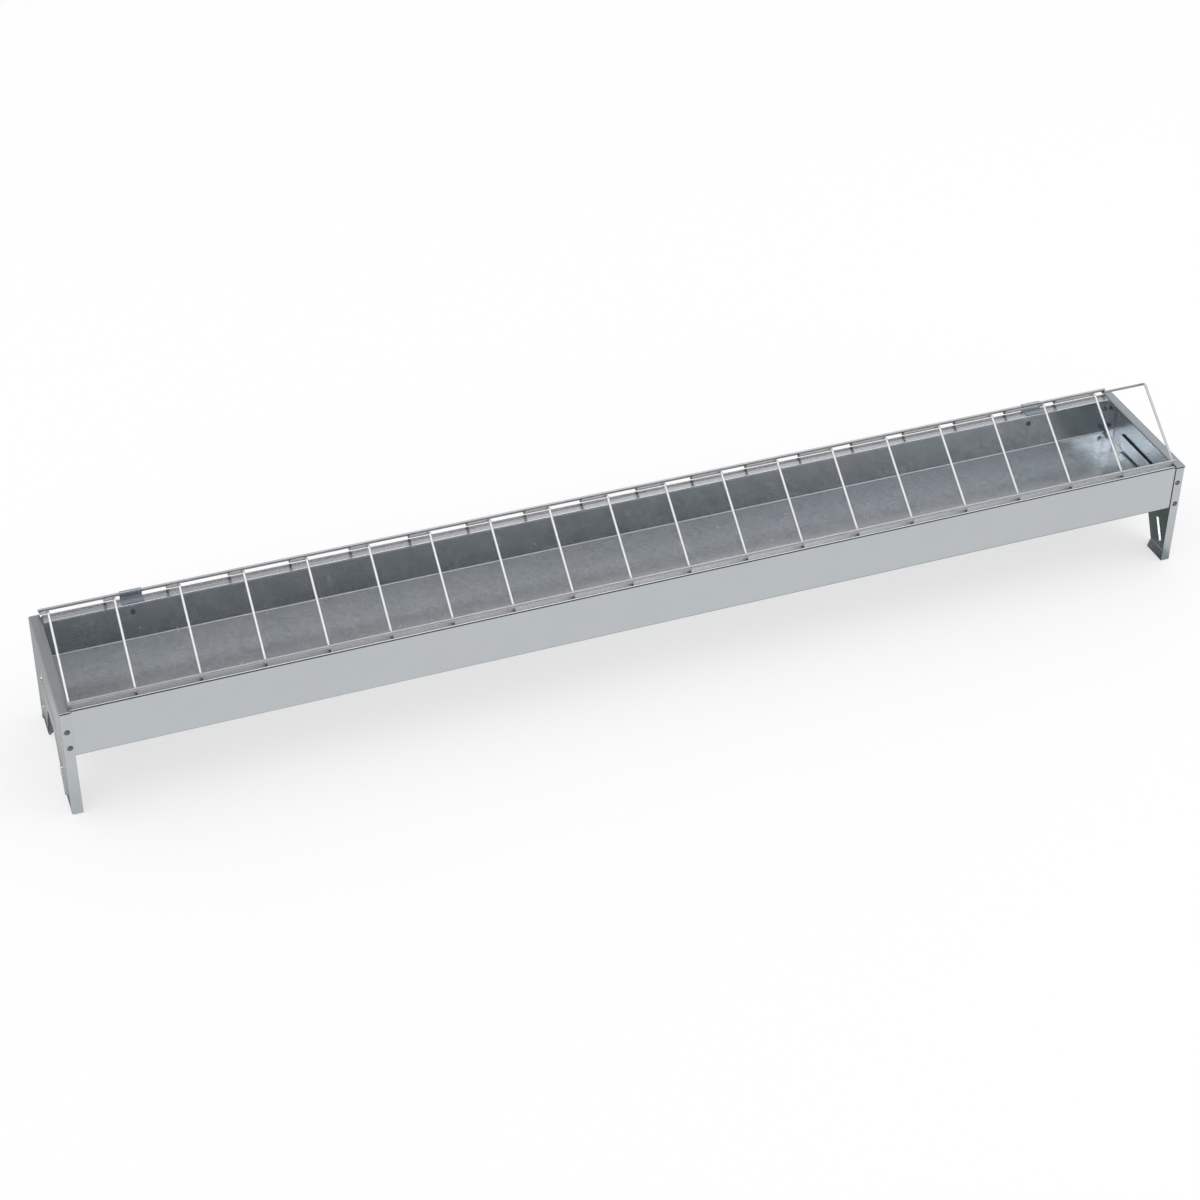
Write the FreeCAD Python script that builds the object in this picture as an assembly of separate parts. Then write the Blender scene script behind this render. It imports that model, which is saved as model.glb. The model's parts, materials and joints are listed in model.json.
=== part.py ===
"""Linear trough feeder for chicks and young poultry.

One folded galvanised sheet trough hangs between two pressed end plates whose
corners run down to the floor as four legs.  A roof-shaped grille of welded
wire lies over the trough.  Its rear rod turns in two sheet clips riveted to
the back wall, so the whole grille lifts and folds back for filling.

Millimetres, +Z up, +X along the trough to the right, -Y is the feeding front.
Origin: on the floor, half way along and half way across the feet.
Most sizes use rim coordinates: y from the front wall face, z from the rim.
"""
import FreeCAD, Part
import math
import os

Vector = FreeCAD.Vector

# ---------------------------------------------------------------- shared sizes
LENGTH = 1000.0        # over the outer faces of the two end plates
WIDTH = 125.0          # over the trough walls, at the rim
RIM_H = 102.0          # rim above the floor
DEPTH = 45.0           # rim down to the underside of the trough
SHEET = 0.8            # trough and end plate sheet
BEND_R = 1.2           # bend radius on the sheet's centre line
SPLAY = 1.35           # degrees that walls and legs lean outwards, going down
SLIP = 0.05            # gap left between two sheets that lie on each other
HEM_W = 6.0            # folded-under hem of a flange
HEM_GAP = 0.2          # air inside a closed hem
OVERRUN = 4.0          # how far blanks and cutters run past what they trim

HALF_L = LENGTH / 2
HALF_W = WIDTH / 2
HALF_SHEET = SHEET / 2
BEND_OUT = HALF_SHEET + BEND_R             # outer radius of a bend
HEM_R = (SHEET + HEM_GAP) / 2
HEM_Z = -HALF_SHEET - SHEET - HEM_GAP      # centre line of a hem
TAN = math.tan(math.radians(SPLAY))
COS = math.cos(math.radians(SPLAY))
SIN = math.sin(math.radians(SPLAY))

os.makedirs("parts", exist_ok=True)


# ------------------------------------------------------------------- helpers
def rim_point(x, y, z):
    """Vector from rim coordinates."""
    return Vector(x, y - HALF_W, z + RIM_H)


def line(start, end):
    return Part.LineSegment(start, end).toShape()


def arc(start, middle, end):
    return Part.Arc(start, middle, end).toShape()


def along(point, direction, dist):
    """2D point moved dist along a unit direction."""
    return (point[0] + direction[0] * dist, point[1] + direction[1] * dist)


def left_of(point, direction, dist):
    """2D point moved dist to the left of a unit direction."""
    return (point[0] - direction[1] * dist, point[1] + direction[0] * dist)


def arc_middle(centre, start, end, radius):
    """Middle point of the 2D arc from start to end."""
    to_mid = ((start[0] + end[0]) / 2 - centre[0], (start[1] + end[1]) / 2 - centre[1])
    return along(centre, to_mid, radius / math.hypot(*to_mid))


def strip_face(path, radii, thickness, place):
    """Face of a bent sheet, from the 2D corner points of its centre line.

    radii: centre-line bend radius at each inner corner;
    place: turns a 2D point into a vector.
    """
    directions = []
    for start, end in zip(path, path[1:]):
        length = math.dist(start, end)
        directions.append(((end[0] - start[0]) / length, (end[1] - start[1]) / length))
    sides = []
    for side in (1, -1):
        shift = side * thickness / 2
        first = last = left_of(path[0], directions[0], shift)
        edges = []
        for corner, radius, before, after in zip(path[1:-1], radii, directions, directions[1:]):
            cross = before[0] * after[1] - before[1] * after[0]
            dot = before[0] * after[0] + before[1] * after[1]
            angle = math.atan2(cross, dot)
            turn = 1 if angle > 0 else -1
            run = radius * math.tan(abs(angle) / 2)
            bend_start = along(corner, before, -run)
            bend_end = along(corner, after, run)
            centre = left_of(bend_start, before, turn * radius)
            arc_start = left_of(bend_start, before, shift)
            arc_end = left_of(bend_end, after, shift)
            middle = arc_middle(centre, arc_start, arc_end, radius - turn * shift)
            if math.dist(arc_start, last) > 1e-6:
                edges.append(line(place(*last), place(*arc_start)))
            edges.append(arc(place(*arc_start), place(*middle), place(*arc_end)))
            last = arc_end
        end = left_of(path[-1], directions[-1], shift)
        edges.append(line(place(*last), place(*end)))
        sides.append((first, edges, end))
    (first_a, edges_a, end_a), (first_b, edges_b, end_b) = sides
    loop = edges_a + [line(place(*end_a), place(*end_b))]
    loop += edges_b[::-1] + [line(place(*first_b), place(*first_a))]
    return Part.Face(Part.Wire(Part.__sortEdges__(loop)))


def leaning_bend(path, pivot_y, reach):
    """Sheet with one upright bend, leaning with the front wall.

    path: (x, y) centre line; reach: depth below the rim it has to cover.
    """
    face = strip_face(path, [BEND_R], SHEET, lambda x, y: rim_point(x, y, OVERRUN))
    strip = face.extrude(Vector(0, 0, -reach - 2 * OVERRUN))
    strip.rotate(rim_point(0, pivot_y, 0), Vector(1, 0, 0), -SPLAY)
    return strip


def box(x0, x1, y0, y1, z0, z1):
    """Box in rim coordinates."""
    return Part.makeBox(x1 - x0, y1 - y0, z1 - z0, rim_point(x0, y0, z0))


def prism_x(corners, x0, x1):
    """Prism along X from (y, z) rim-coordinate corners."""
    points = [rim_point(x0, y, z) for y, z in corners]
    return Part.Face(Part.makePolygon(points + [points[0]])).extrude(Vector(x1 - x0, 0, 0))


def mirror_y(shape):
    return shape.mirror(Vector(0, 0, 0), Vector(0, 1, 0))


def mirror_x(shape):
    return shape.mirror(Vector(0, 0, 0), Vector(1, 0, 0))


def four_corners(shape):
    """The shape and its mirror images at the trough's other three corners."""
    return [shape, mirror_y(shape), mirror_x(shape), mirror_x(mirror_y(shape))]


def one(shape):
    """The single solid of a result, cleaned of split faces."""
    solids = shape.removeSplitter().Solids
    assert len(solids) == 1, len(solids)
    return solids[0]


def save(name, shape):
    assert shape.isValid(), name
    shape.exportStep("parts/" + name + ".step")


# -------------------------------------------------------------------- rivets
RIVET_R = 1.55         # shank
RIVET_HOLE_R = 1.6
HEAD_R = 2.5
HEAD_H = 1.2
TAIL_R = 2.1
TAIL_SIDE = 0.6        # straight side of the tail
TAIL_ROUND = 0.7       # radius of its rounded edge
TAIL_H = TAIL_SIDE + TAIL_ROUND
DIMPLE_R = 0.8         # conical dimple in the tail's end
DIMPLE_Z = 0.25        # its apex, from the trough wall's inner face


def wall_frame(x, below, side_y):
    """Point on a wall's outer face and its outward normal; side_y -1 front, 1 rear."""
    centre = rim_point(x, HALF_W + side_y * (HALF_W + below * TAN), -below)
    return centre, Vector(0, side_y * COS, SIN)


def rivet_hole(x, below, side_y, outer, inner):
    """Hole cutter square to a wall; outer, inner: distances out from its outer face."""
    centre, normal = wall_frame(x, below, side_y)
    return Part.makeCylinder(RIVET_HOLE_R, outer - inner, centre + normal * inner, normal)


def rivet(x, below, side_y, head_z):
    """Round-head rivet: head outside at head_z from the wall face, set tail inside."""
    dome_r = (HEAD_R ** 2 + HEAD_H ** 2) / (2 * HEAD_H)
    half = math.asin(HEAD_R / dome_r) / 2
    wall_z = -SHEET
    side_z = wall_z - TAIL_SIDE
    end_z = wall_z - TAIL_H
    cos45 = math.cos(math.radians(45))

    def point(r, z):
        return Vector(r, 0, z)

    apex = point(0, head_z + HEAD_H)
    dome_mid = point(dome_r * math.sin(half), head_z + HEAD_H - dome_r * (1 - math.cos(half)))
    head_edge = point(HEAD_R, head_z)
    shank_top = point(RIVET_R, head_z)
    shank_low = point(RIVET_R, wall_z)
    tail_top = point(TAIL_R, wall_z)
    tail_side = point(TAIL_R, side_z)
    round_mid = point(TAIL_R - TAIL_ROUND * (1 - cos45), side_z - TAIL_ROUND * cos45)
    tail_end = point(TAIL_R - TAIL_ROUND, end_z)
    dimple_edge = point(DIMPLE_R, end_z)
    dimple_apex = point(0, wall_z - DIMPLE_Z)
    profile = Part.Wire([
        line(dimple_apex, apex),
        arc(apex, dome_mid, head_edge),
        line(head_edge, shank_top),
        line(shank_top, shank_low),
        line(shank_low, tail_top),
        line(tail_top, tail_side),
        arc(tail_side, round_mid, tail_end),
        line(tail_end, dimple_edge),
        line(dimple_edge, dimple_apex)])
    solid = Part.Face(profile).revolve(Vector(0, 0, 0), Vector(0, 0, 1), 360)
    centre, normal = wall_frame(x, below, side_y)
    solid.Placement = FreeCAD.Placement(centre, FreeCAD.Rotation(Vector(0, 0, 1), normal))
    return solid


# -------------------------------------------------------------- trough body
RIM_W = 11.0                           # inward flange along both long rims
RIM_END = 489.5                        # the rim flange stops here, at each end
RIM_CUT_Z = -2.2                       # and is cut away down to here beyond
TROUGH_HALF = HALF_L - SHEET - 0.1     # trough ends 0.1 short of the plates
TAB_X = TROUGH_HALF - HALF_SHEET       # centre line of the tabs folded from the wall ends
TAB_WALL = 5.0                         # wall length replaced together with a tab
TAB_TOP_W = 10.3                       # tab width at the top
TAB_LOW_W = 14.9                       # and at the bottom
TAB_TOP_Z = -2.6
TAB_LOW_Z = -DEPTH + 3.4
BITE_X = 1.9                           # wall opened this far in from the tab's centre line
BITE_Y = 0.9
BITE_LOW_Z = -DEPTH + 2.2
RELIEF_X = 0.9                         # relief at each bottom corner
RELIEF_Y = 0.3


def trough_blank():
    """The folded sheet with its rim flange shortened at both ends."""
    def wall_mid(z):
        """Centre line of the leaning front wall."""
        return z * TAN + HALF_SHEET / COS

    floor_z = HALF_SHEET - DEPTH
    front = [
        (RIM_W - HEM_W, HEM_Z), (RIM_W - HALF_SHEET, HEM_Z),
        (RIM_W - HALF_SHEET, -HALF_SHEET), (wall_mid(-HALF_SHEET), -HALF_SHEET),
        (wall_mid(floor_z), floor_z)]
    back = [(WIDTH - y, z) for y, z in reversed(front)]
    radii = [HEM_R] * 2 + [BEND_R] * 4 + [HEM_R] * 2
    face = strip_face(front + back, radii, SHEET, lambda y, z: rim_point(-TROUGH_HALF, y, z))
    body = face.extrude(Vector(2 * TROUGH_HALF, 0, 0))
    for side in (-1, 1):
        x0, x1 = sorted((side * RIM_END, side * (TROUGH_HALF + 1)))
        body = body.cut(box(x0, x1, -2, WIDTH + 2, RIM_CUT_Z, 2))
    return body


def end_tab():
    """Tab folded in from the front wall's right end, lying on the end plate."""
    path = [(TAB_X - TAB_WALL - 1, HALF_SHEET), (TAB_X, HALF_SHEET),
            (TAB_X, TAB_LOW_W + OVERRUN)]
    outline = [(-3, TAB_TOP_Z), (TAB_TOP_W, TAB_TOP_Z), (TAB_LOW_W, TAB_LOW_Z), (-3, TAB_LOW_Z)]
    return leaning_bend(path, 0, DEPTH).common(prism_x(outline, TAB_X - TAB_WALL, TAB_X + 2))


def trough_body():
    # open the straight wall where the rounded tab corner takes over
    bite = box(TAB_X - BITE_X, TROUGH_HALF + 1, -3, BITE_Y, BITE_LOW_Z, 2)
    # and relieve the bottom corner where it would meet the end plate's bend
    bite = bite.fuse(box(TROUGH_HALF - RELIEF_X, TROUGH_HALF + 1, -3, RELIEF_Y,
                         -DEPTH - 1, BITE_LOW_Z))
    body = trough_blank()
    for cutter in four_corners(bite):
        body = body.cut(cutter)
    return body.fuse(four_corners(end_tab()))


# ---------------------------------------------------------------- end plates
TOP_FLANGE = 9.5       # flange over the trough's end
TOP_LAP_Z = -2.2       # the top flange's bend runs down to here
TOP_HEM_INSET = 1.4    # hem ends, from the wall faces
HEM_START = 1.6        # hem strip begins this far from the lip
HEM_CUT = 1.2          # flange is cut back this far from the lip for it
SIDE_FLANGE = 9.0      # flange down each leg, outside the wall
SIDE_TOP_Z = -2.0
SIDE_LAP_Y = 6.0       # its inner part runs into the panel up to here
PAD_W = 9.0            # foot pad folded under each leg
PAD_L = 28.0           # leg width at the floor, measured from the rim corner
PAD_MITRE = 7.3        # how far the pad's inner corner is cut back
PAD_GAP = 0.25         # between pad and side flange
PAD_LAP = 2.0          # pad strip runs this far up over the panel
ARCH_TOP = 56.5        # rim down to the top of the gap between the legs
ARCH_TOP_Y = 49.5      # front edge of the gap at its top
ARCH_LOW_Y = 38.0      # and at the kink in the leg
ARCH_LOW_H = 22.5      # kink above the floor
ARCH_R = 8.0
LEG_OUT_Y = -(SLIP + SHEET)            # outer face of a leg, at rim height
PRESS_LAP = 0.05       # overlap of pressing tools with the sheet's face

# half-moon pressing, in end plate (y, z)
MOON_Y = (27.5, 97.5)  # its two ends
MOON_Z = -29.3         # the ledge along its straight top
MOON_SIDE_Z = -36.5    # lower end of its straight sides
MOON_BEND = (2.0, -41.0)               # point on the corner arc: in from the end, z
MOON_BEND_RISE = 0.7                   # rise of that point per unit of inset
MOON_TURN = (8.0, -43.0)               # end of the corner arc: in from the end, z
MOON_LOW = -43.7       # its lowest point
MOON_D = 2.1           # how far it stands into the trough
MOON_SKIN = (0.0, 1.3)                 # outline insets at the plate and at full depth
MOON_HOLLOW = (0.55, 1.85)

# rib down each leg
RIB_TOP = (23.6, -74.0)                # centre of its upper end, front leg (y, z)
RIB_LOW = (13.7, -93.3)                # and of its lower end
RIB_R = 2.3            # half width
RIB_H = 1.6            # height
RIB_SKIN = (0.0, 1.0)  # outline insets at the plate and at full height
RIB_HOLLOW = (0.5, 1.55)


def leg_face_y(z):
    return LEG_OUT_Y + z * TAN


def loft(start, end):
    return Part.makeLoft([start, end], True, True)


def plate_panel(foot_z):
    """Flat panel with its two legs, down to the foot bends at foot_z."""
    half = [(leg_face_y(-BEND_OUT) + BEND_OUT, -BEND_OUT),
            (leg_face_y(foot_z) + BEND_OUT, foot_z), (PAD_L, foot_z),
            (ARCH_LOW_Y, -RIM_H + ARCH_LOW_H), (ARCH_TOP_Y, -ARCH_TOP)]
    outline = half + [(WIDTH - y, z) for y, z in reversed(half)]
    panel = prism_x(outline, HALF_L - SHEET, HALF_L)
    arch_corners = [
        e for e in panel.Edges
        if abs(e.BoundBox.ZMax - (RIM_H - ARCH_TOP)) < 1e-3 and e.BoundBox.XLength > 0.5
        and abs(abs(e.BoundBox.YMin) - (HALF_W - ARCH_TOP_Y)) < 1e-3]
    return panel.makeFillet(ARCH_R, arch_corners)


def top_flange(mid_x):
    """Flange over the trough's end, and its hem."""
    lip_x = HALF_L - TOP_FLANGE + HALF_SHEET
    flange_path = [(mid_x, TOP_LAP_Z), (mid_x, -HALF_SHEET), (lip_x, -HALF_SHEET)]
    flange = strip_face(flange_path, [BEND_R], SHEET,
                        lambda x, z: rim_point(x, LEG_OUT_Y, z)
                        ).extrude(Vector(0, WIDTH - 2 * LEG_OUT_Y, 0))
    hem_path = [(lip_x + HEM_START, -HALF_SHEET), (lip_x, -HALF_SHEET),
                (lip_x, HEM_Z), (lip_x + HEM_W - HALF_SHEET, HEM_Z)]
    hem = strip_face(hem_path, [HEM_R, HEM_R], SHEET,
                     lambda x, z: rim_point(x, TOP_HEM_INSET, z)
                     ).extrude(Vector(0, WIDTH - 2 * TOP_HEM_INSET, 0))
    flange = flange.cut(box(lip_x - 1, lip_x + HEM_CUT,
                            TOP_HEM_INSET, WIDTH - TOP_HEM_INSET, -3, 1))
    return flange, hem


def side_flange(mid_x):
    """Flange down the front leg, leaning with it."""
    mid_y = LEG_OUT_Y + HALF_SHEET
    path = [(mid_x, SIDE_LAP_Y), (mid_x, mid_y), (HALF_L - SIDE_FLANGE, mid_y)]
    keep = box(HALF_L - SIDE_FLANGE - 3, HALF_L + 1, -8, SIDE_LAP_Y - 1, -RIM_H, SIDE_TOP_Z)
    return leaning_bend(path, LEG_OUT_Y, RIM_H).common(keep)


def foot_pad(mid_x, foot_z):
    """Pad under the front leg, its inner corner cut to a mitre."""
    path = [(mid_x, foot_z + PAD_LAP), (mid_x, -RIM_H + HALF_SHEET),
            (HALF_L - PAD_W, -RIM_H + HALF_SHEET)]
    start_y = leg_face_y(-RIM_H) + SHEET + PAD_GAP
    pad = strip_face(path, [BEND_R], SHEET, lambda x, z: rim_point(x, start_y, z)
                     ).extrude(Vector(0, PAD_L - start_y, 0))
    far_x = HALF_L - PAD_W - 1
    mitre = PAD_MITRE * (PAD_W + 1 - BEND_OUT) / (PAD_W - BEND_OUT)
    start = rim_point(HALF_L - BEND_OUT, PAD_L + 0.01, -RIM_H - 1)
    outer = rim_point(far_x, PAD_L + 0.01, -RIM_H - 1)
    inner = rim_point(far_x, PAD_L - mitre, -RIM_H - 1)
    triangle = Part.Face(Part.makePolygon([start, outer, inner, start]))
    return pad.cut(triangle.extrude(Vector(0, 0, 3)))


def moon_wire(inset, x):
    """Half-moon outline, drawn in on its curved side, open above its ledge."""
    front, rear = MOON_Y[0] + inset, MOON_Y[1] - inset
    top_z = MOON_Z + 3.0
    bend_in, bend_z = MOON_BEND[0], MOON_BEND[1] + MOON_BEND_RISE * inset
    turn_in, turn_z = MOON_TURN[0], MOON_TURN[1] + inset

    def point(y, z):
        return rim_point(x, y, z)

    front_top, rear_top = point(front, top_z), point(rear, top_z)
    front_side, rear_side = point(front, MOON_SIDE_Z), point(rear, MOON_SIDE_Z)
    front_turn, rear_turn = point(front + turn_in, turn_z), point(rear - turn_in, turn_z)
    return Part.Wire([
        line(front_top, rear_top),
        line(rear_top, rear_side),
        arc(rear_side, point(rear - bend_in, bend_z), rear_turn),
        arc(rear_turn, point((front + rear) / 2, MOON_LOW + inset), front_turn),
        arc(front_turn, point(front + bend_in, bend_z), front_side),
        line(front_side, front_top)])


def press_moon(plate):
    """Half-moon: pushed inwards, sloping along its curved side, square along its top."""
    def below(z):
        return box(HALF_L - 8, HALF_L + 2, MOON_Y[0] - 3, MOON_Y[1] + 3, -60, z)

    inner_x = HALF_L - SHEET
    skin = loft(moon_wire(MOON_SKIN[0], inner_x + HALF_SHEET),
                moon_wire(MOON_SKIN[1], inner_x - MOON_D))
    hollow = loft(moon_wire(MOON_HOLLOW[0], HALF_L + PRESS_LAP),
                  moon_wire(MOON_HOLLOW[1], HALF_L - MOON_D))
    return plate.fuse(skin.common(below(MOON_Z))).cut(hollow.common(below(MOON_Z - SHEET)))


def rib_wire(top, low, radius, x):
    """Round-ended slot outline between two (y, z) end centres."""
    length = math.dist(top, low)
    down = ((low[0] - top[0]) / length, (low[1] - top[1]) / length)

    def point(centre, ahead, left):
        return rim_point(x, *left_of(along(centre, down, ahead), down, left))

    top_left, top_right = point(top, 0, radius), point(top, 0, -radius)
    low_left, low_right = point(low, 0, radius), point(low, 0, -radius)
    return Part.Wire([
        line(top_left, low_left),
        arc(low_left, point(low, radius, 0), low_right),
        line(low_right, top_right),
        arc(top_right, point(top, -radius, 0), top_left)])


def press_rib(plate, top, low):
    """Push a flat-topped rib outwards, with a hollow behind it."""
    def layer(insets, x):
        return loft(rib_wire(top, low, RIB_R - insets[0], x - PRESS_LAP),
                    rib_wire(top, low, RIB_R - insets[1], x + RIB_H))

    return plate.fuse(layer(RIB_SKIN, HALF_L)).cut(layer(RIB_HOLLOW, HALF_L - SHEET))


def end_plate():
    """Right-hand end plate, without rivet holes; the left one is its mirror image."""
    mid_x = HALF_L - HALF_SHEET
    foot_z = -RIM_H + BEND_OUT
    flange, hem = top_flange(mid_x)
    side = side_flange(mid_x)
    pad = foot_pad(mid_x, foot_z)
    plate = plate_panel(foot_z).fuse([flange, hem, side, mirror_y(side), pad, mirror_y(pad)])
    plate = press_moon(plate)
    plate = press_rib(plate, RIB_TOP, RIB_LOW)
    plate = press_rib(plate, (WIDTH - RIB_TOP[0], RIB_TOP[1]), (WIDTH - RIB_LOW[0], RIB_LOW[1]))
    return one(plate)


# ------------------------------------------------------------- grille sizes
ROD_R = 1.4            # the two long rods
WIRE_R = 1.1           # cross wires
ROD_HALF = 491.7       # half length of the rods
ROD_CHAMFER = 0.25
WIRE_N = 20
WIRE_PITCH = 51.57
WELD_BITE = 0.2        # how far a wire sinks into a rod at each spot weld
FRONT_ROD = (3.9, 3.95)                # rod centres (y, z)
REAR_ROD = (WIDTH + 0.9, 3.6)
APEX = (65.0, 48.0)    # where the two halves of a wire would meet (y, z)
APEX_R = 4.0
FRONT_TAIL = 1.7       # wire beyond its weld, at the front
REAR_TAIL = 1.5        # and at the back

# -------------------------------------------------------------- hinge clips
CLIP_T = 0.7
CLIP_W = 18.0
CLIP_X = (-416.8, 414.0)
CLIP_LOW = 24.5        # rim down to the clip's lower end
CLIP_TONGUE = 9.7      # how far the clip reaches in over the rim
CLIP_PLAY = 0.09       # radial play of the rod in the clip
CLIP_BEND_R = 0.6      # the two bends under the rod
TONGUE_BEND_R = 0.75   # bend into the tongue
CLIP_CORNER_R = 4.0    # lower corners
CLIP_RIVET = 16.4      # below the rim
STRAP_DY, STRAP_DZ = 0.695, 0.719      # direction of the strap under the rod


def clip(x):
    """Strap up the rear wall, round the rear rod and in over the rim."""
    rod_y, rod_z = REAR_ROD
    loop_r = ROD_R + CLIP_PLAY + CLIP_T / 2
    offset = SLIP + CLIP_T / 2
    # the strap follows the leaning wall up to (bend_y, bend_z), and the slanting
    # part above it passes the rod at exactly the loop's radius
    wall_y = WIDTH + offset / COS
    slope = STRAP_DZ / STRAP_DY
    bend_z = (rod_z - loop_r / STRAP_DY - (rod_y - wall_y) * slope) / (1 + TAN * slope)
    bend_y = wall_y - bend_z * TAN
    rear_y = rod_y + loop_r
    path = [(wall_y + CLIP_LOW * TAN, -CLIP_LOW), (bend_y, bend_z),
            (rear_y, bend_z + (rear_y - bend_y) * slope),
            (rear_y, rod_z + loop_r), (rod_y - loop_r, rod_z + loop_r),
            (rod_y - loop_r, offset), (WIDTH - CLIP_TONGUE, offset)]
    radii = [CLIP_BEND_R, CLIP_BEND_R, loop_r, loop_r, TONGUE_BEND_R]
    face = strip_face(path, radii, CLIP_T, lambda y, z: rim_point(x - CLIP_W / 2, y, z))
    strap = face.extrude(Vector(CLIP_W, 0, 0))
    low_corners = [
        e for e in strap.Edges
        if abs(e.BoundBox.ZMin - (RIM_H - CLIP_LOW)) < 0.05 and e.BoundBox.YLength > 0.5
        and e.BoundBox.XLength < 0.01 and e.BoundBox.ZLength < 0.05]
    strap = strap.makeFillet(CLIP_CORNER_R, low_corners)
    return one(strap.cut(rivet_hole(x, CLIP_RIVET, 1, 3, -0.05)))


# ------------------------------------------------------------------- grille
def tangent_slope(rod_at, dist, sign):
    """Slope angle of a line through the apex passing dist under the rod."""
    run, rise = sign * (rod_at[0] - APEX[0]), APEX[1] - rod_at[1]
    return math.atan2(rise, run) + math.asin(dist / math.hypot(run, rise))


def cross_wire(x):
    """Wire bent over the apex, welded under both rods."""
    weld = ROD_R + WIRE_R - WELD_BITE
    front_angle = tangent_slope(FRONT_ROD, weld, -1)
    rear_angle = tangent_slope(REAR_ROD, weld, 1)
    rising = (math.cos(front_angle), math.sin(front_angle))
    falling = (math.cos(rear_angle), -math.sin(rear_angle))
    front_end = along(left_of(FRONT_ROD, rising, -weld), rising, -FRONT_TAIL)
    rear_end = along(left_of(REAR_ROD, falling, -weld), falling, REAR_TAIL)
    run = APEX_R * math.tan((front_angle + rear_angle) / 2)
    bend_start = along(APEX, rising, -run)
    bend_end = along(APEX, falling, run)
    centre = left_of(bend_start, rising, -APEX_R)
    middle = arc_middle(centre, bend_start, bend_end, APEX_R)
    start, a, mid, b, end = [
        rim_point(x, *p) for p in (front_end, bend_start, middle, bend_end, rear_end)]
    path = Part.Wire([line(start, a), arc(a, mid, b), line(b, end)])
    circle = Part.Wire(Part.Circle(start, Vector(0, *rising), WIRE_R).toShape())
    return path.makePipeShell([circle], True, False)


def long_rod(rod_at):
    """Long rod with chamfered ends."""
    rod = Part.makeCylinder(ROD_R, 2 * ROD_HALF, rim_point(-ROD_HALF, *rod_at), Vector(1, 0, 0))
    ends = [e for e in rod.Edges if e.BoundBox.XLength < 1e-3 and e.BoundBox.YLength > 1]
    return rod.makeChamfer(ROD_CHAMFER, ends)


# ----------------------------------------------------------------- assembly
# end plate rivets: side (-1 left, 1 right), wall (-1 front, 1 rear),
# distance in from the plate's outer face, distance below the rim
END_RIVETS = (
    (-1, -1, 4.9, 19.5), (-1, -1, 5.6, 35.4),
    (-1, 1, 5.2, 19.0), (-1, 1, 5.2, 36.0),
    (1, -1, 5.6, 17.5), (1, -1, 4.6, 40.4),
    (1, 1, 5.2, 18.0), (1, 1, 5.8, 37.6),
)

body = trough_body()
right_plate = end_plate()
plates = {-1: mirror_x(right_plate), 1: right_plate}

clip_rivets = []
for x in CLIP_X:
    body = body.cut(rivet_hole(x, CLIP_RIVET, 1, 3, -3))
    clip_rivets.append(rivet(x, CLIP_RIVET, 1, SLIP + CLIP_T))

end_rivets = []
for side_x, side_y, inset, below in END_RIVETS:
    x = side_x * (HALF_L - inset)
    hole = rivet_hole(x, below, side_y, 4, -4)
    body = body.cut(hole)
    plates[side_x] = plates[side_x].cut(hole)
    end_rivets.append(rivet(x, below, side_y, SLIP + SHEET))

save("trough_body", one(body))
save("left_end_plate", one(plates[-1]))
save("right_end_plate", one(plates[1]))
save("left_hinge_clip", clip(CLIP_X[0]))
save("right_hinge_clip", clip(CLIP_X[1]))
save("clip_rivets", Part.makeCompound(clip_rivets))
save("end_plate_rivets", Part.makeCompound(end_rivets))
save("front_rod", long_rod(FRONT_ROD))
save("rear_rod", long_rod(REAR_ROD))
for i in range(WIRE_N):
    x = (i - (WIRE_N - 1) / 2) * WIRE_PITCH
    save("cross_wire_%02d" % (i + 1), cross_wire(x))
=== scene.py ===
"""Looks of the trough feeder: galvanised sheet trough on four sheet legs, with a hinged wire grille.

The trough runs along X and stands on z = 0, with its front towards -Y. The camera looks down
on it from the front left. Lengths are in metres.
"""

import json
import math

import bpy
from mathutils import Matrix, Vector

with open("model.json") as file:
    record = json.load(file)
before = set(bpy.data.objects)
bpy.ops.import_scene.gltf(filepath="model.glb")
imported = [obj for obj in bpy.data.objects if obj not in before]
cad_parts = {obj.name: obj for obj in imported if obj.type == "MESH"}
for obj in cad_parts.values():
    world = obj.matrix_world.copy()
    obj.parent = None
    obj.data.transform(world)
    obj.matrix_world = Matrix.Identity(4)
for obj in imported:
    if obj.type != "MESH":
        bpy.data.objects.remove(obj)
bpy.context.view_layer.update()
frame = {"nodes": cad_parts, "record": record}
NODES = frame["nodes"]
scene = bpy.context.scene

# ---------------------------------------------------------------- node building


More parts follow.
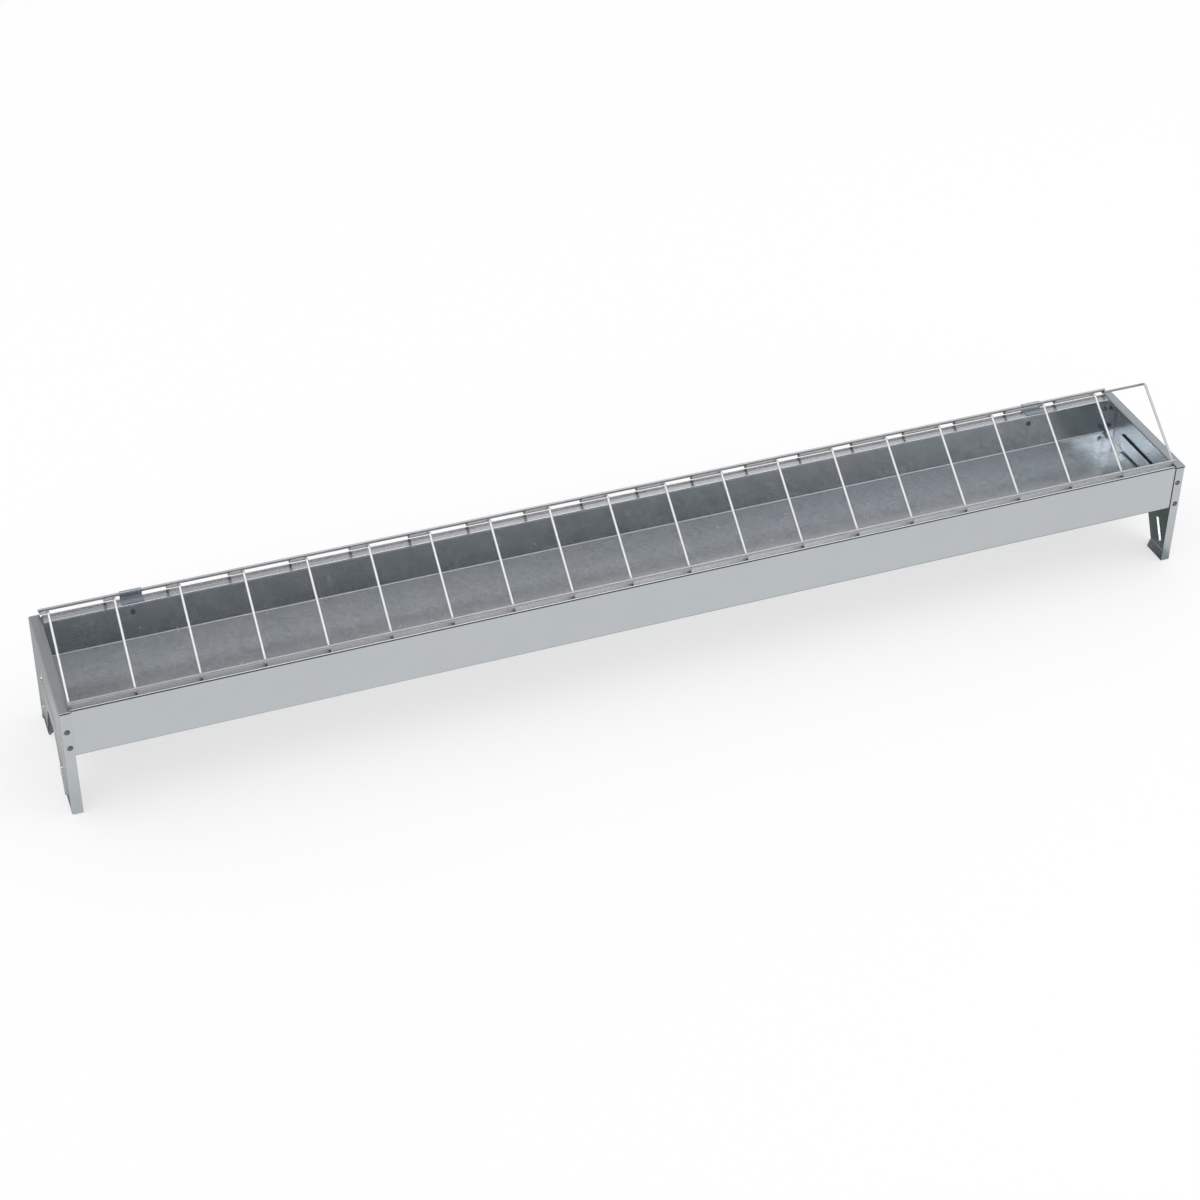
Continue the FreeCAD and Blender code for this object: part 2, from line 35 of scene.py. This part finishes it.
class Net:
    """Short way of building one node tree. Colours are given as three numbers."""

    def __init__(self, tree):
        tree.nodes.clear()
        self.nodes = tree.nodes
        self.links = tree.links

    def put(self, node, key, value):
        """Links a socket to an input, or sets the input's value."""
        socket = node.inputs[key]
        if isinstance(value, bpy.types.NodeSocket):
            self.links.new(value, socket)
        elif socket.type == "RGBA":
            socket.default_value = (*value, 1.0)
        else:
            socket.default_value = value

    def add(self, kind, *inputs, **settings):
        """Adds a node: settings are properties or named inputs, the rest inputs in order."""
        node = self.nodes.new("ShaderNode" + kind)
        for key, value in settings.items():
            if hasattr(node, key):
                setattr(node, key, value)
            else:
                self.put(node, key, value)
        for i, value in enumerate(inputs):
            self.put(node, i, value)
        return node

    def studio(self, key):
        """One named colour of the studio."""
        node = self.add("RGB", label=key)
        node.outputs[0].default_value = (*STUDIO[key], 1.0)
        return node.outputs[0]

    def math(self, operation, a, b=0.0, c=0.0):
        return self.add("Math", a, b, c, operation=operation).outputs[0]

    def times(self, a, b):
        return self.math("MULTIPLY", a, b)

    def plus(self, value, mask, by):
        """value + mask * by"""
        return self.math("MULTIPLY_ADD", mask, by, value)

    def gain(self, value, mask, by):
        """value * (1 + mask * by)"""
        return self.times(value, self.plus(1.0, mask, by))

    def vary(self, value, pattern, by):
        """Moves value up and down with a pattern centred on 0.5."""
        return self.plus(value, self.math("SUBTRACT", pattern, 0.5), by)

    def vector(self, operation, *inputs, **settings):
        return self.add("VectorMath", *inputs, operation=operation, **settings).outputs[0]

    def dot(self, a, b):
        return self.add("VectorMath", a, b, operation="DOT_PRODUCT").outputs["Value"]

    def split(self, vector):
        return self.add("SeparateXYZ", vector).outputs

    def channels(self, color):
        return self.add("SeparateColor", color).outputs

    def step(self, value, start, end, low=0.0, high=1.0):
        """Smooth step from low to high as value goes from start to end."""
        node = self.add("MapRange", value, start, end, low, high,
                        interpolation_type="SMOOTHSTEP", clamp=True)
        return node.outputs[0]

    def mix(self, mask, under, over):
        node = self.add("Mix", mask, data_type="RGBA")
        self.put(node, 6, under)
        self.put(node, 7, over)
        return node.outputs[2]

    def noise(self, place, scale, detail, rough, stretch=None):
        if stretch:
            place = self.add("Mapping", place, Scale=stretch).outputs[0]
        node = self.add("TexNoise", Vector=place, Scale=scale, Detail=detail, Roughness=rough)
        return node.outputs["Fac"], node.outputs["Color"]

    def cells(self, place, scale):
        """One random colour per cell."""
        node = self.add("TexVoronoi", Vector=place, Scale=scale, Randomness=1.0)
        return node.outputs["Color"]

    def bump(self, height, strength, distance, **normal):
        node = self.add("Bump", Strength=strength, Distance=distance, Height=height, **normal)
        return node.outputs[0]


def new_material(name):
    material = bpy.data.materials.new(name)
    material.use_nodes = True
    return material, Net(material.node_tree)


def metal_surface(net, color, metallic, rough, normal):
    shader = net.add("BsdfPrincipled", color, Metallic=metallic, Roughness=rough, Normal=normal)
    net.add("OutputMaterial", shader.outputs[0])


def crevice(net, color, reach, dark, amount):
    """Darkens narrow gaps and inside corners, where dirt and shade sit."""
    occlusion = net.add("AmbientOcclusion", samples=6, Distance=reach).outputs["AO"]
    return net.mix(net.step(occlusion, start=0.62, end=0.18, high=amount), color, dark)


# ---------------------------------------------------------------- galvanised sheet

GRAIN = 640.0  # fine spangle cells per metre
COARSE_GRAIN = GRAIN / 2.6
WARP = 0.004  # how far noise bends the cell borders
INNER_LEAN = 0.06  # extra lean of the reflections on the walls' insides

# Places where a mask fades in, each as (start, end) along one axis
RIM_Z = (0.098, 0.100)
BOTTOM_Z = (0.070, 0.062)
REAR_Y = (0.03, 0.05)
REAR_RIM_X = (0.35, -0.25)
REAR_WALL_Z = (0.095, 0.066)
FOLD_Y, FOLD_Z = (0.06205, 0.06225), (0.0590, 0.0586)
BEND_Y = (-0.0608, -0.0611)
LEDGE_X = (0.4972, 0.4977)  # distance from the middle
FLANGE_X = (0.4925, 0.4915)  # distance from the middle
LEDGE_Z, LEDGE_REACH = 0.0727, 0.0004

# Faint patches of the zinc skin: violet, green and blue
SKIN_TINTS = ((0.64, 0.56, 0.66), (0.54, 0.66, 0.60), (0.50, 0.60, 0.70))


def fold_highlight_and_bend_shade(net, color, y, z, normal_z):
    """Painted highlight along the bottom's fold, and painted shade in the front rim's bend."""
    fold = net.times(net.step(y, *FOLD_Y),
                     net.times(net.step(z, *FOLD_Z), net.step(normal_z, start=0.10, end=0.25)))
    # painted highlight: the fold's colour is mixed towards near-white
    color = net.mix(fold, color, (0.90, 0.92, 0.93))
    curve = net.times(net.step(normal_z, start=0.12, end=0.22),
                      net.step(normal_z, start=0.80, end=0.68))
    bend = net.times(net.step(y, *BEND_Y), curve)
    # painted shade: the bend's colour is mixed towards near-black
    bend_shade_amount = 0.8
    return net.mix(net.times(bend, bend_shade_amount), color, (0.05, 0.055, 0.06)), fold


def shade_plate_ledge_and_edges(net, color, rough, x, z, normal_x, flat):
    """Painted shade, on rougher sheet, on the ledge above the half-moon and along the sheared edges
    of the flanges.
    """
    away = net.math("ABSOLUTE", x)
    ledge = net.times(net.step(away, *LEDGE_X), net.math("COMPARE", z, LEDGE_Z, LEDGE_REACH))
    ledge = net.times(flat, ledge)
    # painted shade: the ledge is made near-black
    color = net.mix(ledge, color, (0.085, 0.10, 0.11))
    rough = net.plus(rough, ledge, by=0.4)
    sideways = net.math("ABSOLUTE", normal_x)
    cut = net.times(net.step(sideways, start=0.85, end=0.93), net.step(away, *FLANGE_X))
    # painted shade: the flanges' sheared edges are made dark
    color = net.mix(cut, color, (0.10, 0.10, 0.10))
    return color, net.plus(rough, cut, by=0.3)


def galvanised(name, base=(0.62, 0.635, 0.645), rough=(0.12, 0.19), tilt=0.009, speckle=0.05,
               tint=0.10, rim_level=1.0, trough=False, plates=False):
    """Hot-dip zinc: fine spangle whose grains tilt their reflections, patches of faint tint,
    rolling streaks, a slightly wavy sheet, rubbed edges, and painted shade and dirt in crevices."""
    material, net = new_material(name)
    place = net.add("TexCoord").outputs["Object"]
    geometry = net.add("NewGeometry").outputs
    normal_x, normal_y, normal_z = net.split(geometry["True Normal"])
    x, y, z = net.split(place)

    # patterns
    large, large_color = net.noise(place, scale=14.0, detail=3.0, rough=0.55)
    medium, medium_color = net.noise(place, scale=60.0, detail=4.0, rough=0.6)
    fine, _ = net.noise(place, scale=1300.0, detail=2.0, rough=0.6)
    streak, _ = net.noise(place, scale=1.0, detail=4.0, rough=0.6, stretch=(10.0, 420.0, 420.0))
    warped = net.vector("MULTIPLY_ADD", medium_color, (WARP, WARP, WARP), place)
    fine_cells = net.cells(warped, GRAIN)
    coarse_cells = net.cells(warped, COARSE_GRAIN)
    fine_channels = net.channels(fine_cells)
    fine_share, coarse_share = 0.65, 0.35
    grains = net.math("ADD", net.times(fine_channels[0], fine_share),
                      net.times(net.channels(coarse_cells)[1], coarse_share))

    # the spangle shows most on the trough's bottom
    blotch = 0.07
    if trough:
        bottom = net.times(net.step(normal_z, start=0.80, end=0.97), net.step(z, *BOTTOM_Z))
        speckle = net.plus(speckle, bottom, by=speckle * 8.0)
        blotch = net.plus(blotch, bottom, by=0.16)
        tint = net.plus(tint, bottom, by=tint * 1.5)
        tilt = net.plus(tilt, bottom, by=tilt * 1.5)

    # brightness
    level = net.vary(1.0, grains, by=speckle)
    level = net.vary(level, large, by=0.10)
    level = net.vary(level, medium, by=blotch)
    level = net.vary(level, streak, by=0.05)
    # the rims, rubbed by hands and weather, are rougher, and their colour is scaled by rim_level as
    # painted shade
    flat = net.step(normal_z, start=0.80, end=0.95)
    rim = net.times(flat, net.step(z, *RIM_Z))
    level = net.gain(level, rim, by=rim_level - 1.0)
    if trough:
        # painted light: the rear rim is lighter than the front one, most of all towards the left
        rear = net.step(y, *REAR_Y)
        rear_rim_light = net.step(x, *REAR_RIM_X, low=0.15, high=0.48)
        level = net.gain(level, net.times(rim, rear), by=rear_rim_light)
        # painted shade: the back wall inside is darker, most of all low down
        facing = net.times(rear, net.step(normal_y, start=-0.85, end=-0.95))
        level = net.gain(level, facing, by=net.step(z, *REAR_WALL_Z, high=-0.22))

    # colour
    color = net.mix(0.0, base, base)
    for channel, skin in zip(net.channels(large_color), SKIN_TINTS):
        color = net.mix(net.step(channel, start=0.52, end=0.68, high=tint), color, skin)
    color = net.vector("SCALE", color, Scale=level)
    edge = net.step(geometry["Pointiness"], start=0.52, end=0.57, high=0.5)
    color = net.mix(edge, color, (0.78, 0.79, 0.80))
    # painted shade and dirt: darker colour in gaps and inside corners
    color = crevice(net, color, reach=0.0022, dark=(0.035, 0.035, 0.035), amount=0.85)

    # roughness and metal
    metallic = 1.0
    roughness = net.plus(rough[0], medium, by=rough[1] - rough[0])
    roughness = net.plus(roughness, fine_channels[1], by=0.05)
    roughness = net.plus(roughness, rim, by=0.10)
    if trough:
        # painted highlight along the bottom's fold and painted shade in the front rim's bend; the
        # fold is also less metallic
        color, fold = fold_highlight_and_bend_shade(net, color, y, z, normal_z)
        roughness = net.plus(roughness, bottom, by=0.06)
        metallic = net.plus(net.plus(metallic, bottom, by=-0.15), fold, by=-0.6)
    if plates:
        # painted shade on the plates' ledge and flange edges
        color, roughness = shade_plate_ledge_and_edges(net, color, roughness, x, z, normal_x, flat)

    # each grain leans a little: add its own offset to the normal
    middle = (0.5, 0.5, 0.5)
    offset = net.vector("ADD", net.vector("SUBTRACT", fine_cells, middle),
                        net.vector("SUBTRACT", coarse_cells, middle))
    normal = net.vector("ADD", geometry["Normal"], net.vector("SCALE", offset, Scale=tilt))
    if trough:
        # the insides of the walls lean a touch further, as pressed sheet does
        inward = net.times(normal_y, net.math("SIGN", y))
        inner = net.step(inward, start=-0.85, end=-0.95)
        lean = net.add("CombineXYZ", Z=net.times(inner, -INNER_LEAN)).outputs[0]
        normal = net.vector("ADD", normal, lean)
    normal = net.vector("NORMALIZE", normal)
    waves, _ = net.noise(place, scale=13.0, detail=1.5, rough=0.4)
    normal = net.bump(waves, strength=1.0, distance=0.00003, Normal=normal)
    scratches = net.math("ADD", fine, streak)
    normal = net.bump(scratches, strength=0.4, distance=0.00001, Normal=normal)
    metal_surface(net, color, metallic, roughness, normal)
    return material


# ---------------------------------------------------------------- drawn wire

# Places on the grille where a mask fades in, as (start, end)
REAR_HALF_Y = (0.002, 0.012)
RIGHT_END_X = (0.46, 0.48)
REARMOST_Y = (0.0585, 0.0605)


def scaled(color, factor):
    return tuple(c * factor for c in color)


def shade_grille(net, color, base, place):
    """Painted shade: dark flanks beside a brighter crown, darker wire towards the rear and the right
    end, and darkest at the rearmost ends.
    """
    facing = net.add("LayerWeight", Blend=0.5).outputs["Facing"]
    # painted shade on the flanks, where the wire turns away
    color = net.mix(net.step(facing, start=0.14, end=0.52, high=0.88), color, (0.10, 0.10, 0.105))
    # painted shade: the rear halves and the right end are darker than the long fronts
    x, y, _ = net.split(place)
    rear_shade = net.math("MAXIMUM", net.step(y, *REAR_HALF_Y), net.step(x, *RIGHT_END_X, high=0.55))
    color = net.mix(rear_shade, color, scaled(base, 0.50))
    # painted shade at the rearmost ends, by the rear rod
    return net.mix(net.step(y, *REARMOST_Y), color, (0.12, 0.12, 0.12))


def facing_ends(net, normal, ends):
    """1 on faces that point along one of the ends' directions, 0 elsewhere."""
    turned = net.add("VectorTransform", normal, vector_type="NORMAL",
                     convert_from="WORLD", convert_to="OBJECT").outputs[0]
    mask = 0.0
    for way in ends:
        hit = net.step(net.dot(turned, Vector(way).normalized()), start=0.86, end=0.94)
        mask = net.math("MAXIMUM", mask, hit)
    return mask


def drawn_wire(name, base, rough, pits, metallic=1.0, grille=False, ends=(),
               end_color=(0.06, 0.055, 0.05)):
    """Zinc-plated drawn wire: small dark specks, painted shade and dirt in gaps, and sheared ends
    that face the given ways painted dark.
    """
    material, net = new_material(name)
    place = net.add("TexCoord").outputs["Object"]
    medium, _ = net.noise(place, scale=130.0, detail=4.0, rough=0.6)
    fine, _ = net.noise(place, scale=1500.0, detail=2.0, rough=0.6)
    spots, _ = net.noise(place, scale=420.0, detail=2.0, rough=0.5)
    patches = net.step(medium, start=0.42, end=0.66, high=0.35)
    color = net.mix(patches, base, scaled(base, 0.86))
    color = net.mix(net.step(spots, start=0.62, end=0.75, high=pits), color, (0.25, 0.25, 0.26))
    if grille:
        color = shade_grille(net, color, base, place)
    # painted shade and dirt: darker colour in gaps and inside corners
    color = crevice(net, color, reach=0.0012, dark=(0.10, 0.095, 0.09), amount=0.7)
    roughness = net.plus(rough[0], medium, by=rough[1] - rough[0])
    if ends:
        mask = facing_ends(net, net.add("NewGeometry").outputs["True Normal"], ends)
        # the ends that face the given ways are painted dark
        color = net.mix(mask, color, end_color)
        roughness = net.plus(roughness, mask, by=0.3)
    normal = net.bump(fine, strength=0.3, distance=0.00003)
    metal_surface(net, color, metallic, roughness, normal)
    return material


# ---------------------------------------------------------------- materials of the pieces

# rough is (least, most)
MATERIALS = {
    "galvanised_sheet": galvanised("galvanised_sheet", trough=True),
    "galvanised_pressing": galvanised(
        "galvanised_pressing", base=(0.58, 0.60, 0.605), rough=(0.18, 0.26), tilt=0.012,
        rim_level=0.78, plates=True),
    "galvanised_strap": galvanised(
        "galvanised_strap", base=(0.20, 0.27, 0.33), rough=(0.22, 0.28), tilt=0.003,
        speckle=0.02, tint=0.0),
    "galvanised_rod": drawn_wire(
        "galvanised_rod", base=(0.66, 0.645, 0.645), rough=(0.30, 0.38), pits=0.35,
        ends=((1, 0, 0), (-1, 0, 0))),
    "bright_wire": drawn_wire(
        "bright_wire", base=(0.98, 0.97, 0.98), rough=(0.42, 0.52), pits=0.2, metallic=0.25,
        grille=True, ends=((0, -0.811, -0.585), (0, 0.806, -0.592)),
        end_color=(0.14, 0.135, 0.13)),
    "rivet_steel": drawn_wire(
        "rivet_steel", base=(0.24, 0.24, 0.24), rough=(0.46, 0.58), pits=0.5),
}
for item in frame["record"]["subparts"]:
    slots = NODES[item["node"]].data.materials
    slots.clear()
    slots.append(MATERIALS[item["material_slot"]])

# ---------------------------------------------------------------- studio colours

# What the metal reflects, by direction in the surroundings and by place on the floor
STUDIO = {
    "back_left": (0.335, 0.335, 0.35),
    "back_mid": (0.74, 0.72, 0.74),
    "back_right": (0.42, 0.46, 0.49),
    "back_low": (0.42, 0.455, 0.47),
    "front_low": (0.035, 0.045, 0.052),
    "front_mid": (0.58, 0.595, 0.625),
    "front_mid_right": (0.57, 0.64, 0.72),
    "front_high": (0.03, 0.05, 0.062),
    "over_left": (0.55, 0.56, 0.57),
    "over_right": (2.0, 2.0, 2.0),
    "left_front": (3.9, 4.25, 4.6),
    "left_high": (0.16, 0.21, 0.24),
    "left_back": (0.55, 0.58, 0.60),
    "lamp_right": (1.1, 1.15, 1.2),
    # the floor as the metal sees it; the darker floor colours are painted shadow of the trough
    "floor_front": (0.69, 0.712, 0.722),
    "floor_leg_left": (0.56, 0.59, 0.60),
    "floor_leg_right": (0.28, 0.33, 0.32),
    "floor_side": (0.62, 0.62, 0.62),
    "floor_under": (0.10, 0.12, 0.11),
    "floor_behind": (0.45, 0.46, 0.46),
}
DIFFUSE_WHITE = (0.93, 0.93, 0.93)
BACKDROP = (0.95, 0.95, 0.95)

# ---------------------------------------------------------------- floor

FLOOR_SIZE = 16.0
FLOOR_Z = -0.0004  # just below the feet
FLOOR_GLOW = 0.62  # share of even white light in the visible floor


def floor_reflection(net):
    """The floor as the metal reflects it: a glow with painted shadow, darkest under the trough and
    by the right leg, lighter beside, in front and behind.
    """
    x, y, _ = net.split(net.add("NewGeometry").outputs["Position"])
    legs = net.mix(net.step(x, start=-0.3, end=0.3),
                   net.studio("floor_leg_left"), net.studio("floor_leg_right"))
    # painted shadow under the trough and by the legs
    color = net.mix(net.step(y, start=-0.048, end=-0.066), net.studio("floor_under"), legs)
    beside = net.step(net.math("ABSOLUTE", x), start=0.500, end=0.512)
    color = net.mix(beside, color, net.studio("floor_side"))
    color = net.mix(net.step(y, start=-0.074, end=-0.130), color, net.studio("floor_front"))
    return net.mix(net.step(y, start=0.05, end=0.12), color, net.studio("floor_behind"))


def pale_floor():
    material, net = new_material("floor_pale")
    matt = net.add("BsdfPrincipled", DIFFUSE_WHITE, Roughness=0.9).outputs[0]
    fill = net.add("Emission", (1.0, 1.0, 1.0)).outputs[0]
    soft = net.add("MixShader", FLOOR_GLOW, matt, fill).outputs[0]
    # glossy rays see the floor's reflection colours, painted shadow included
    glow = net.add("Emission", floor_reflection(net)).outputs[0]
    reflected = net.add("LightPath").outputs["Is Glossy Ray"]
    net.add("OutputMaterial", net.add("MixShader", reflected, soft, glow).outputs[0])
    return material


bpy.ops.mesh.primitive_plane_add(size=FLOOR_SIZE, location=(0, 0, FLOOR_Z))
floor = bpy.context.object
floor.name = "floor"
floor.data.materials.append(pale_floor())

# ---------------------------------------------------------------- surroundings


def lamp(net, ray, direction, inner, outer):
    """1 inside a round patch of the surroundings, 0 outside; angles in degrees."""
    return net.step(net.dot(ray, Vector(direction).normalized()),
                    start=math.cos(math.radians(outer)), end=math.cos(math.radians(inner)))


def surroundings(net, ray):
    """Colour of the studio in each direction; x, y and z are parts of the unit direction."""
    x, y, z = net.split(ray)
    # curves the upper borders down towards the sides
    lift = net.plus(z, net.times(x, x), by=0.36)

    # behind the object
    back = net.mix(net.step(x, start=0.14, end=0.34),
                   net.studio("back_left"), net.studio("back_mid"))
    back = net.mix(net.step(x, start=0.38, end=0.54), back, net.studio("back_right"))
    back = net.mix(net.step(z, start=0.36, end=0.16), back, net.studio("back_low"))
    # in front of it, behind the camera
    middle = net.mix(net.step(x, start=0.30, end=0.45),
                     net.studio("front_mid"), net.studio("front_mid_right"))
    front = net.mix(net.step(z, start=0.15, end=0.45), net.studio("front_low"), middle)
    front = net.mix(net.step(lift, start=0.55, end=0.61), front, net.studio("front_high"))
    sky = net.mix(net.step(y, start=-0.20, end=0.20), front, back)
    # overhead
    over = net.mix(net.step(x, start=-0.05, end=0.35),
                   net.studio("over_left"), net.studio("over_right"))
    sky = net.mix(net.step(z, start=0.78, end=0.93), sky, over)
    # the tall window on the left
    side = net.mix(net.step(lift, start=0.545, end=0.60),
                   net.studio("left_front"), net.studio("left_high"))
    side = net.mix(net.step(y, start=-0.15, end=0.15), side, net.studio("left_back"))
    window = net.times(net.step(x, start=-0.28, end=-0.48), net.step(z, start=0.10, end=0.26))
    sky = net.mix(window, sky, side)
    patch = lamp(net, ray, direction=(0.60, -0.10, 0.78), inner=16, outer=34)
    return net.mix(patch, sky, net.studio("lamp_right"))


world = bpy.data.worlds.new("studio")
scene.world = world
world.use_nodes = True
world.cycles.sampling_method = "NONE"
world_net = Net(world.node_tree)
sky = surroundings(world_net, world_net.add("TexCoord").outputs["Generated"])
# diffuse light and the camera see plain white instead
light_path = world_net.add("LightPath").outputs
seen = world_net.mix(light_path["Is Diffuse Ray"], sky, DIFFUSE_WHITE)
seen = world_net.mix(light_path["Is Camera Ray"], seen, BACKDROP)
world_net.add("OutputWorld", world_net.add("Background", seen).outputs[0])

# ---------------------------------------------------------------- lights


def softbox(name, place, size, power):
    """Rectangular light aimed at the origin, unseen in reflections."""
    data = bpy.data.lights.new(name, "AREA")
    data.shape = "RECTANGLE"
    data.size, data.size_y = size
    data.energy = power
    light = bpy.data.objects.new(name, data)
    scene.collection.objects.link(light)
    light.location = place
    light.rotation_mode = "QUATERNION"
    light.rotation_quaternion = (-Vector(place)).to_track_quat("-Z", "Y")
    light.visible_glossy = False


softbox("softbox_right", place=(1.6, -0.4, 2.4), size=(2.4, 2.0), power=12.0)
softbox("softbox_left", place=(-1.8, 0.6, 2.2), size=(2.0, 2.0), power=8.0)

# ---------------------------------------------------------------- camera

CAMERA_PLACE = (-0.64052, -1.51966, 1.33111)
# the camera's own axes in the world
CAMERA_RIGHT = (0.93457887, -0.35530748, 0.01785864)
CAMERA_UP = (0.19181877, 0.54555383, 0.81582877)
CAMERA_BACK = (-0.29961291, -0.7590307, 0.57801773)

lens = bpy.data.cameras.new("camera")
lens.sensor_width = 36.0  # mm
lens.lens = 72.98754  # mm
lens.shift_x = 0.0066325
lens.shift_y = -0.1023375
lens.clip_start, lens.clip_end = 0.05, 60.0
camera = bpy.data.objects.new("camera", lens)
scene.collection.objects.link(camera)
pose = Matrix((CAMERA_RIGHT, CAMERA_UP, CAMERA_BACK)).transposed().to_4x4()
pose.translation = CAMERA_PLACE
camera.matrix_world = pose
scene.camera = camera

scene.view_settings.view_transform = "Standard"
